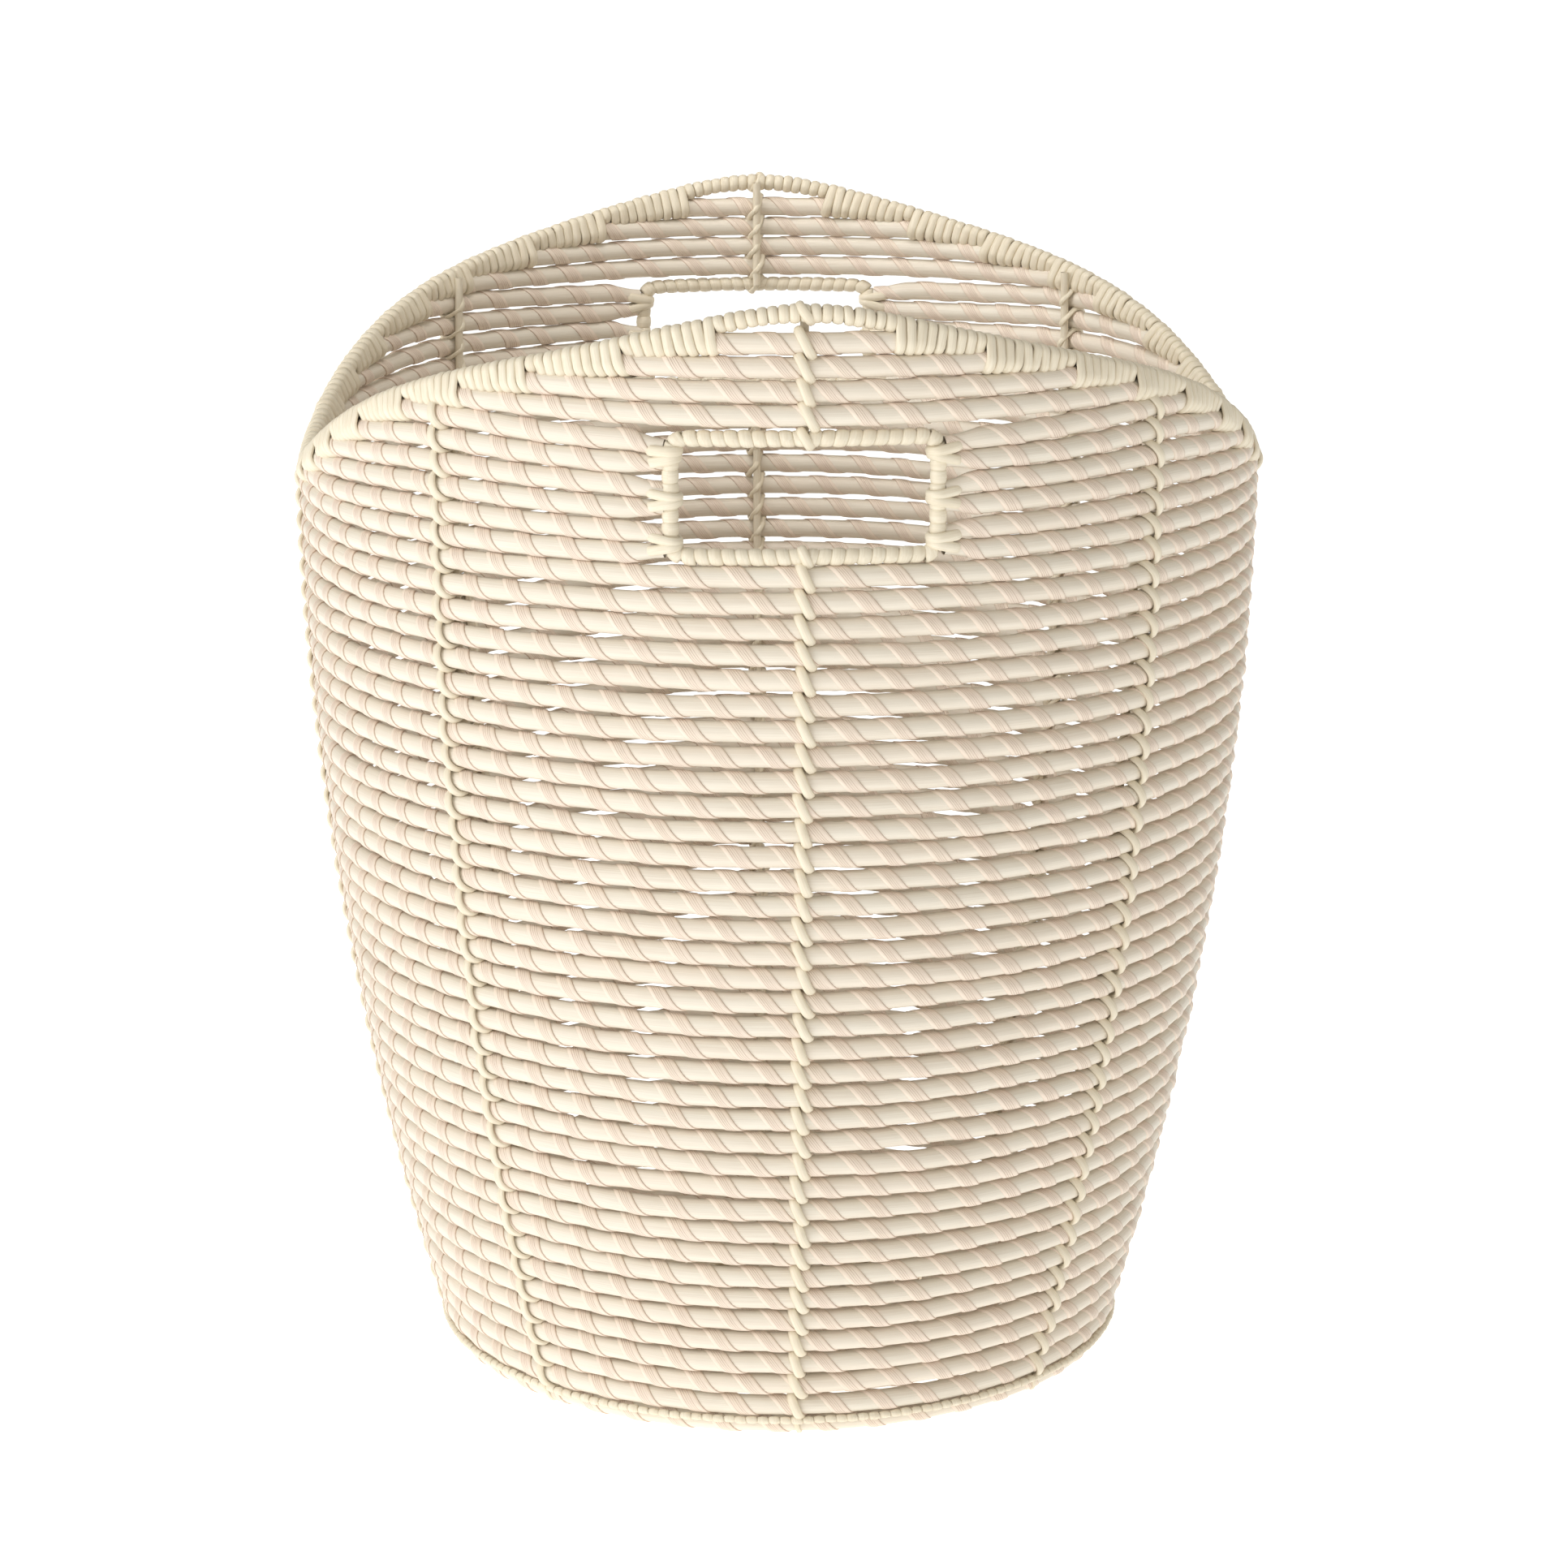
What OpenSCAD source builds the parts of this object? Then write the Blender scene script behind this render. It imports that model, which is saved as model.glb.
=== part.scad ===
// Woven laundry basket: round rods stacked in rings on eight upright wires, with a hand hole
// let into the front and the back, a saddle-shaped rim and a lashed rod base.
// Units are millimetres. +Z is up, the front hand hole faces -Y, and the origin is the centre
// of the foot on the floor. Angles go round the basket from the front (0) towards +X (90).

/* [Wall] */
// Radius of the wall at its widest, measured to the rods' centres
belly_r = 225.6; // [200:0.1:250]
// Height at which the wall is widest
belly_z = 460; // [440:1:480]
// Radius of the arc that the wall follows from top to bottom
wall_arc_r = 1647; // [1400:1:2400]

/* [Rods] */
// Thickness of each wrapped rod
rod_d = 9.8; // [8:0.1:10]
// Number of complete rings below the hand holes
ring_count = 36; // [20:1:36]
// Height of the topmost complete ring
top_ring_z = 429; // [425:1:429]
// Height of the lowest complete ring
bottom_ring_z = 14.8; // [14.5:0.1:16]

/* [Hand holes] */
// Width of each hand hole between the centres of its side bars
hole_w = 118; // [100:1:124]
// Height of the hole's lower bar
hole_low_z = 438; // [438:0.5:440]
// Height of the hole's upper bar
hole_high_z = 491; // [489:0.5:493]
// Number of short rods beside each hole
side_level_count = 6; // [4:1:6]
// Spacing of the short rods where they meet the hole
side_level_gap = 9.9; // [9.9:0.01:10]
// Number of arch rods above each hole
arch_count = 4; // [2:1:4]
// Height of the lowest arch rod
arch_low_z = 501; // [501:0.5:502]
// Spacing of the arch rods
arch_gap = 10.6; // [10.5:0.1:10.8]

/* [Rim] */
// Height of the rim wire at the front and back
rim_peak_z = 546; // [545:1:550]
// Height of the rim wire at the two sides
rim_low_z = 451; // [450:1:460]
// How straight the rim runs between its high and low points
rim_straightness = 0.95; // [0.6:0.01:0.97]
// How far the rim bulges upwards between its high and low points
rim_bulge = 12; // [0:0.5:14]

/* [Wires and cord] */
// Thickness of the frame wires
wire_d = 4; // [3:0.1:4]
// Thickness of a wire once it is wrapped in cord
wrapped_d = 7.8; // [7:0.1:8]
// Thickness of the lashing cord where it is pulled flat round a rod
lash_t = 0.9; // [0.5:0.1:0.9]
// Thickness of the lashing cord where the rods are closest together
lash_tight_t = 0.35; // [0.2:0.05:0.35]
// Width of the lashing cord
lash_w = 4.2; // [3:0.1:5]

/* [Base] */
// Height of the centre of the base spokes
spoke_z = 12; // [12:0.5:14]
// Spacing of the rods of the base
base_gap = 11.8; // [10.5:0.1:14]

/* [Hidden] */
$fn = 64;
rod_r = rod_d / 2;
wire_r = wire_d / 2;
wrapped_r = wrapped_d / 2;
clear = 0.1;
ring_gap = (top_ring_z - bottom_ring_z) / (ring_count - 1);
// The foot rod is pressed flat on the floor by this much, which gives a resting face.
foot_flat = 0.3;
foot_z = rod_r - foot_flat;
// Centre of the wall's arc, in the plane of one upright.
arc_centre_r = belly_r - wall_arc_r;
// Distance from a rod's centre to the centre of the upright wire behind it.
upright_in = rod_r + wire_r + clear;
hole_angle = asin(hole_w / 2 / belly_r);
upright_step = 45;
// The short rods start clear of the hand hole's wrapped side bar.
side_start = hole_angle + asin((wrapped_r + clear) / belly_r);
rim_mid_z = (rim_peak_z + rim_low_z) / 2;
rim_half_z = (rim_peak_z - rim_low_z) / 2;
// Rods stop this far below the rim wire, clear of its binding.
rim_binding_r = wrapped_r + 0.4;
rod_under_rim = rim_binding_r + rod_r + clear;
rim_skew = 0.6;
rim_sections = 128;
// The binding's bore clears the corners of the rim wire's section.
rim_bore_r = wire_r + 0.16;
rim_bindings = 32;
rim_sides = 8;
// Tilt of the arch rods, whose ends rise to meet the rim.
arch_tilt = 4;
// Added tilt of each short rod, counted upwards, as they fan out from the hole.
side_tilt_step = 0.5;
// Search for the rods' ends, in degrees, and how far before its end a rod is last lashed.
end_search_step = 0.5;
side_search_from = 20;
arch_search_from = 2;
lash_before_end = 3;
// The foot rod stands a little inside the lowest ring, and the beaded base ring outside both.
foot_inset = 3.6;
foot_cut = 600;
bead_ring_out = 3.1;
bead_ring_z = 8;
bead_r = 2.5;
upright_low_z = 10;
hub_r = 12;
hub_h = 4.4;
rod_color = "#e9e1cd";
cord_color = "#efe9cf";
wire_color = "#ddd6bf";

// Radius of the wall at height z.
function wall_r(z) = arc_centre_r + sqrt(wall_arc_r * wall_arc_r - pow(belly_z - z, 2));
// Lean of the wall from vertical at height z, positive where it widens upwards.
function wall_lean(z) = asin((belly_z - z) / wall_arc_r);
// Height of complete ring k, counted from 1 at the top.
function ring_z(k) = top_ring_z - (k - 1) * ring_gap;
// Height of the rim wire at angle a from the front: a rounded zigzag with two highs and two lows,
// bulging upwards between them, most of all towards the lows.
function rim_z(a) = rim_mid_z
    + rim_bulge * pow(sin(2 * a), 2) * (1 - rim_skew * cos(2 * a))
    + rim_half_z * asin(rim_straightness * cos(2 * a)) / asin(rim_straightness);
// Height at angle a of short rod j, counted from 1 at the bottom, which starts at the hole.
function side_z(j, a) = top_ring_z + j * side_level_gap
    + tan(j * side_tilt_step) * (belly_r * sin(a) - hole_w / 2);
// Height at angle a of arch rod j, counted from 1 at the bottom.
function arch_z(j, a) = arch_low_z + (j - 1) * arch_gap
    + tan(arch_tilt) * belly_r * (1 - cos(a));
// First angle at which a rod reaches the rim, searched in small steps from a start angle.
function side_end(j, a = side_search_from) =
    a >= 90 || side_z(j, a) > rim_z(a) - rod_under_rim
        ? min(a, 90) : side_end(j, a + end_search_step);
function arch_end(j, a = arch_search_from) =
    arch_z(j, a) > rim_z(a) - rod_under_rim
        ? a - end_search_step : arch_end(j, a + end_search_step);
foot_ring_r = wall_r(bottom_ring_z) - foot_inset;
spoke_reach = wall_r(spoke_z) - upright_in - wire_r - clear;
function ring_name(k) = k < 10 ? str("rod_0", k) : str("rod_", k);

UPRIGHTS = ["upright_front", "upright_front_right", "upright_right", "upright_back_right",
            "upright_back", "upright_back_left", "upright_left", "upright_front_left"];

// Part of a ring of round section, from angle a0 to a1 round the basket.
module arc_rod(ring_r, section_r, a0, a1)
    rotate([0, 0, a0 - 90])
        rotate_extrude(angle = a1 - a0, $fn = 180)
            translate([ring_r, 0]) circle(r = section_r);

// A complete ring of round section.
module ring_rod(ring_r, section_r)
    rotate_extrude($fn = 180)
        translate([ring_r, 0]) circle(r = section_r);

module rod(k)
    color(rod_color)
        translate([0, 0, ring_z(k)]) ring_rod(wall_r(ring_z(k)), rod_r);

// The foot rod carries the basket, and is flat where it meets the floor.
module foot_rod()
    color(rod_color)
        difference() {
            translate([0, 0, foot_z]) ring_rod(foot_ring_r, rod_r);
            translate([0, 0, -rod_d / 2])
                cube([foot_cut, foot_cut, rod_d], center = true);
        }

// Short rod j on one side of the front: it leaves the hole's side bar and fans upwards.
module side_rod(j, a0, a1)
    translate([0, 0, side_z(j, 0)])
        rotate([0, -j * side_tilt_step, 0])
            arc_rod(wall_r(side_z(j, 45)), rod_r, a0, a1);

// The lowest pair of short rods runs from the front hole to the back one below the rim.
module side_rods()
    color(rod_color)
        for (flip = [0, 1])
            mirror([flip, 0, 0]) side_rod(1, side_start, 180 - side_start);

// The short rods above it end where they reach the rim.
module quarter_rods()
    color(rod_color)
        for (flip = [0, 1], j = [2 : side_level_count])
            mirror([flip, 0, 0]) side_rod(j, side_start, side_end(j));

module quarter_rods_front() quarter_rods();
module quarter_rods_back() mirror([0, 1, 0]) quarter_rods();

// The arch rods close the wall above a hand hole.
module arch_rods()
    color(rod_color)
        for (j = [1 : arch_count])
            translate([0, 0, arch_z(j, 0)])
                translate([0, -wall_r(arch_z(j, 0)), 0])
                    rotate([arch_tilt, 0, 0])
                        translate([0, wall_r(arch_z(j, 0)), 0])
                            arc_rod(wall_r(arch_z(j, 0)), rod_r, -arch_end(j), arch_end(j));

module arch_rods_front() arch_rods();
module arch_rods_back() mirror([0, 1, 0]) arch_rods();

// Point on the rim's centre line at angle a, moved out and up by the given offsets.
function rim_point(a, out, up) =
    let (r = wall_r(rim_z(a)) + out)
    [r * sin(a), -r * cos(a), rim_z(a) + up];
// Points round the rim's section at angle a.
function rim_section(a, section_r) =
    [for (i = [0 : rim_sides - 1])
        let (t = 360 * (i + 0.5) / rim_sides)
        rim_point(a, section_r * cos(t), section_r * sin(t))];
// Side faces between consecutive sections, whose points start at index base.
function skin(sections, base = 0, inward = false) =
    [for (s = [0 : sections - 2], i = [0 : rim_sides - 1])
        let (j = (i + 1) % rim_sides,
             p = base + s * rim_sides + i, q = base + s * rim_sides + j,
             u = p + rim_sides, v = q + rim_sides)
        inward ? [p, u, v, q] : [p, q, v, u]];

// The rim wire is one closed loop that rises at the hand holes and dips at the sides.
module rim_wire() {
    points = [for (s = [0 : rim_sections - 1]) each rim_section(360 * s / rim_sections, wire_r)];
    count = rim_sections * rim_sides;
    faces = [for (f = skin(rim_sections + 1)) [for (p = f) p % count]];
    color(wire_color) polyhedron(points, faces);
}

// Each length of the rim binding is a sleeve round the rim wire, open at its ends.
module rim_sleeve(a0, a1) {
    sections = 5;
    angles = [for (s = [0 : sections - 1]) a0 + (a1 - a0) * s / (sections - 1)];
    outer = [for (a = angles) each rim_section(a, rim_binding_r)];
    inner = [for (a = angles) each rim_section(a, rim_bore_r)];
    n = len(outer);
    last = (sections - 1) * rim_sides;
    ends = [for (i = [0 : rim_sides - 1])
        let (j = (i + 1) % rim_sides)
        each [[j, i, n + i, n + j], [last + i, last + j, n + last + j, n + last + i]]];
    polyhedron(concat(outer, inner), concat(skin(sections), skin(sections, n, true), ends));
}

module rim_binding() {
    step = 360 / rim_bindings;
    sleeve_gap = 0.2;
    color(cord_color)
        for (s = [0 : rim_bindings - 1])
            rim_sleeve(s * step + sleeve_gap / 2, (s + 1) * step - sleeve_gap / 2);
}

// One upright wire, from height z0 to z1, as an arc behind the rods in the plane of the front.
module upright_arc(z0, z1) {
    r = wall_arc_r - upright_in;
    t0 = asin((z0 - belly_z) / r);
    t1 = asin((z1 - belly_z) / r);
    translate([0, -arc_centre_r, belly_z])
        rotate([90, 0, -90])
            rotate([0, 0, t0])
                rotate_extrude(angle = t1 - t0, $fn = 360)
                    translate([r, 0]) circle(r = wire_r, $fn = 32);
}

// The wires at the front and back are interrupted by the hand hole.
module upright(index) {
    a = index * upright_step;
    has_hole = index % 4 == 0;
    color(wire_color)
        rotate([0, 0, a]) {
            upright_arc(upright_low_z, has_hole ? hole_low_z : rim_z(a));
            if (has_hole) upright_arc(hole_high_z, rim_z(a));
        }
}

// Centre line of a hand hole's wire loop, as two arcs and two posts, at the given thickness.
module hole_loop(section_r, post_out) {
    r = wall_r((hole_low_z + hole_high_z) / 2);
    for (z = [hole_low_z, hole_high_z])
        translate([0, 0, z]) arc_rod(r, section_r, -hole_angle, hole_angle);
    for (side = [-1, 1])
        translate([side * r * sin(hole_angle), -r * cos(hole_angle), hole_low_z - post_out])
            cylinder(r = section_r, h = hole_high_z - hole_low_z + 2 * post_out);
}

module handle_loop_front() color(wire_color) hole_loop(wire_r, wrapped_r + clear);
module handle_loop_back() mirror([0, 1, 0]) handle_loop_front();

// The cord wound round each loop, as four sleeves that stop short of the corners.
module handle_bindings() {
    r = wall_r((hole_low_z + hole_high_z) / 2);
    corner = wrapped_r + clear;
    bar_angle = hole_angle - asin(corner / r);
    color(cord_color)
        for (flip = [0, 1])
            mirror([0, flip, 0]) {
                for (z = [hole_low_z, hole_high_z])
                    translate([0, 0, z])
                        rotate([0, 0, -bar_angle - 90])
                            rotate_extrude(angle = 2 * bar_angle, $fn = 180)
                                translate([r, 0]) sleeve_section();
                for (side = [-1, 1])
                    translate([side * r * sin(hole_angle), -r * cos(hole_angle),
                               hole_low_z + corner])
                        linear_extrude(hole_high_z - hole_low_z - 2 * corner) sleeve_section();
            }
}

module sleeve_section()
    difference() {
        circle(r = wrapped_r);
        circle(r = wire_r + clear);
    }

// The wrapped ring that shows as a row of beads between the lowest rod and the foot rod.
module base_ring()
    color(cord_color)
        translate([0, 0, bead_ring_z]) ring_rod(wall_r(bottom_ring_z) + bead_ring_out, bead_r);

// Rods of the base, ring inside ring, resting on the spokes.
module base_rods()
    color(rod_color) {
        first_r = wall_r(bottom_ring_z) - rod_d - base_gap / 2;
        rings = floor((first_r - rod_r - clear) / base_gap);
        for (i = [0 : rings])
            translate([0, 0, spoke_z + hub_h / 2 + rod_r + clear])
                ring_rod(first_r - i * base_gap, rod_r);
    }

// Eight wires run out from a welded hub under the base to the feet of the uprights.
module base_spokes()
    color(wire_color) {
        translate([0, 0, spoke_z - hub_h / 2]) cylinder(r = hub_r, h = hub_h);
        for (i = [0 : 7])
            rotate([0, 90, i * upright_step])
                translate([-spoke_z, 0, hub_r / 2]) cylinder(r = wire_r, h = spoke_reach - hub_r / 2);
    }

// Section of one lashing: a loop of flattened cord round a rod and the upright behind it.
module lash_loop(grow) {
    circle(r = rod_r + grow);
    translate([0, -wire_r - grow]) square([upright_in, 2 * (wire_r + grow)]);
    translate([upright_in, 0]) circle(r = wire_r + grow);
}

module lashing(ring_r, z, thickness = lash_t)
    translate([lash_w / 2, -ring_r, z])
        rotate([wall_lean(z), 0, 0])
            rotate([90, 0, -90])
                linear_extrude(lash_w)
                    mirror([1, 0])
                        difference() {
                            lash_loop(clear / 2 + thickness);
                            lash_loop(clear / 2);
                        }

// One lashing at every crossing of a rod and an upright.
module lashings()
    color(cord_color)
        for (index = [0 : 7]) {
            a = index * upright_step;
            fold = min(a % 180, 180 - a % 180);
            rotate([0, 0, a]) {
                for (k = [1 : ring_count]) lashing(wall_r(ring_z(k)), ring_z(k));
                if (fold == 0)
                    for (j = [1 : arch_count])
                        lashing(wall_r(arch_z(j, 0)), arch_z(j, 0), lash_tight_t);
                else
                    for (j = [1 : side_level_count - 1])
                        if (side_end(j) > fold + lash_before_end || j == 1)
                            lashing(wall_r(side_z(j, 45)), side_z(j, fold), lash_tight_t);
            }
        }

for (k = [1 : ring_count])
    rod(k);
for (i = [0 : 7])
    upright(i);
foot_rod();
side_rods();
quarter_rods_front();
quarter_rods_back();
arch_rods_front();
arch_rods_back();
rim_wire();
rim_binding();
handle_loop_front();
handle_loop_back();
handle_bindings();
base_ring();
base_rods();
base_spokes();
lashings();
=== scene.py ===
"""Looks of the woven laundry basket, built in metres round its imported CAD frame.

Angles go round the basket from the front (0) towards +X (90 degrees), as in the CAD. Every rod, wire
and strand is mesh built here from the CAD nodes' boxes, and stands for the plain node in its place.
"""

import math

import bpy
import numpy as np
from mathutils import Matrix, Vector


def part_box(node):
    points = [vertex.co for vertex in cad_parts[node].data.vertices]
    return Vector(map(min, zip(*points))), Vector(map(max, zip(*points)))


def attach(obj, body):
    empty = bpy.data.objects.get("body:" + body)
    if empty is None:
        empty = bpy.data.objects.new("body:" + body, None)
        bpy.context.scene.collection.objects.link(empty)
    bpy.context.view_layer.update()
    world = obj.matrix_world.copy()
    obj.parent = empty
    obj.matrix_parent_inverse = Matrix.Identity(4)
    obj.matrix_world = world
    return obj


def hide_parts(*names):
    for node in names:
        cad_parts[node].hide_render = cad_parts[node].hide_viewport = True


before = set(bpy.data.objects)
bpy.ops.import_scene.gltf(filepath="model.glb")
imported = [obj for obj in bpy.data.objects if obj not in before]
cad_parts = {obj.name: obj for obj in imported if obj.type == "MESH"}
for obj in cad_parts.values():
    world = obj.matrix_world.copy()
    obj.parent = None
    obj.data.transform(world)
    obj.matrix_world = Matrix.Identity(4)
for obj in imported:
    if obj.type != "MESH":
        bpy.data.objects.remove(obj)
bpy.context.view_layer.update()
rng = np.random.default_rng(11)
MM = 0.001
TURN = 2 * math.pi

# ---- sizes taken from the CAD nodes ----------------------------------------------------------


def ring_of(node, section=None):
    """(radius, height) of a ring node's centre line, and half its section."""
    low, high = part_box(node)
    half = section or (high.z - low.z) / 2
    return (high.x - low.x) / 2 - half, high.z - half, half


RING_NODES = sorted(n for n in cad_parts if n.startswith("rod_"))
RINGS = [ring_of(n) for n in RING_NODES]
ROD_R = RINGS[0][2]
WALL = np.polyfit([z for _, z, _ in RINGS], [r for r, _, _ in RINGS], 3)
FOOT_R, FOOT_Z, _ = ring_of("foot_rod", ROD_R)
BEAD_RING_R, BEAD_RING_Z, BEAD_R = ring_of("base_ring")
TOP_RING_Z = RINGS[0][1]

# Sections and set-backs that the CAD shares with this script.
WIRE_R = 2.0 * MM
WRAPPED_R = 3.9 * MM
CLEARANCE = 0.1 * MM
UPRIGHT_IN = ROD_R + WIRE_R + CLEARANCE
# The CAD's rim wire has eight sides, with a flat one on top.
RIM_SECTION_HALF = WIRE_R * math.cos(math.radians(22.5))

loop_low, loop_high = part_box("handle_loop_front")
POST_OUT = WRAPPED_R + CLEARANCE
HOLE_LOW = loop_low.z + POST_OUT
HOLE_HIGH = loop_high.z - POST_OUT
HOLE_HALF = loop_high.x - WIRE_R

rim_low, rim_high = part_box("rim_wire")
RIM_LOW = rim_low.z + RIM_SECTION_HALF
RIM_PEAK = rim_high.z - RIM_SECTION_HALF
# The rim's wave: how straight it runs from peak to dip, how far it bulges up on the way, and how much
# more of that bulge lies towards the dips.
RIM_STRAIGHT = 0.95
RIM_BULGE = 12 * MM
RIM_SKEW = 0.6

# Short rods beside a hand hole and arch rods over it: how many, how far apart and their tilt. The
# tilt of a short rod grows by SIDE_TILT a level.
SIDE_LEVELS = 6
SIDE_GAP = 9.9 * MM
SIDE_TILT = math.radians(0.5)
ARCH_COUNT = 4
ARCH_GAP = 10.6 * MM
ARCH_TILT = math.radians(4)
ARCH_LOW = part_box("arch_rods_front")[0].z + ROD_R

base_low, base_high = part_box("base_rods")
BASE_Z = (base_low.z + base_high.z) / 2
BASE_FIRST_R = base_high.x - ROD_R
BASE_GAP = 11.8 * MM
spokes_low, spokes_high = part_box("base_spokes")
SPOKE_Z = (spokes_low.z + spokes_high.z) / 2
SPOKE_REACH = spokes_high.x
HUB_R = 12 * MM

# From the front round to the left.
UPRIGHT_NAMES = ["front", "front_right", "right", "back_right", "back", "back_left", "left",
                 "front_left"]


def wall_r(z):
    """Radius of the rods' centre lines at height z."""
    return np.polyval(WALL, z)


def rim_z(a):
    """Height of the rim wire at angle a in radians."""
    mid, half = (RIM_PEAK + RIM_LOW) / 2, (RIM_PEAK - RIM_LOW) / 2
    wave = np.arcsin(RIM_STRAIGHT * np.cos(2 * a)) / math.asin(RIM_STRAIGHT)
    return mid + half * wave + RIM_BULGE * np.sin(2 * a) ** 2 * (1 - RIM_SKEW * np.cos(2 * a))


BELLY_Z = 0.46
BELLY_R = wall_r(BELLY_Z)

# The short rods fan out most at the diagonal uprights, by SWELL a level, and sink beyond them, by
# up to SINK a level. Widths and starts are angles in radians.
SWELL, SWELL_WIDTH = 0.4 * MM, 0.22
SINK, SINK_FROM, SINK_WIDTH = 0.9 * MM, 0.85, 0.35


def side_z(j, a):
    """Height of short rod j at angle a from the nearest hand hole."""
    swell = np.exp(-(((a - math.pi / 4) / SWELL_WIDTH) ** 2)) * SWELL
    sink = np.clip((a - SINK_FROM) / SINK_WIDTH, 0, 1) ** 1.5 * SINK
    plane = math.tan(j * SIDE_TILT) * (BELLY_R * np.sin(a) - HOLE_HALF)
    return TOP_RING_Z + j * SIDE_GAP + plane + j * (swell - sink)


def arch_z(j, a):
    """Height of arch rod j at angle a from the middle of the hand hole below it."""
    return ARCH_LOW + (j - 1) * ARCH_GAP + math.tan(ARCH_TILT) * BELLY_R * (1 - np.cos(a))


# ---- mesh building ---------------------------------------------------------------------------


def unit(v):
    """Vectors along v of length 1."""
    return v / np.maximum(np.linalg.norm(v, axis=-1, keepdims=True), 1e-12)


def around(a, r, z):
    """Points at angle a, radius r and height z."""
    a, r, z = np.broadcast_arrays(a, r, z)
    return np.stack([r * np.sin(a), -r * np.cos(a), z], -1)


# Turns of a shape for the front hand hole, and of its copy at the back.
NO_TURN = np.ones(3)
HALF_TURN = np.array([-1.0, -1.0, 1.0])

# At SAG_HEIGHT the weave sits lower than a level basket by twice SAG at the sides, and by BACK_DROP
# at the back. The drop grows with the square of the height, up to SAG_CAP times SAG_HEIGHT.
SAG = 3.0 * MM
SAG_HEIGHT = 0.43
SAG_CAP = 1.3
BACK_DROP = 5.0 * MM
PRESSED = 0.1


def settle(points):
    """Lowers the weave at its sides and its back, and keeps it over the ground."""
    out = points.copy()
    a = np.arctan2(points[..., 0], -points[..., 1])
    reach = np.hypot(points[..., 0], points[..., 1]) / BELLY_R
    rise = np.clip(points[..., 2] / SAG_HEIGHT, 0, SAG_CAP) ** 2 * np.clip(reach, 0, 1)
    out[..., 2] -= rise * (SAG * (1 - np.cos(2 * a)) + BACK_DROP * (1 - np.cos(a)) / 2 * reach)
    # Cord under the foot rod is pressed flat by the ground.
    out[..., 2] = np.where(out[..., 2] < 0, out[..., 2] * PRESSED, out[..., 2])
    return out


# How many metres a tone of 1 shifts the texture along a strand.
TONE_SHIFT = 3


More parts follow.
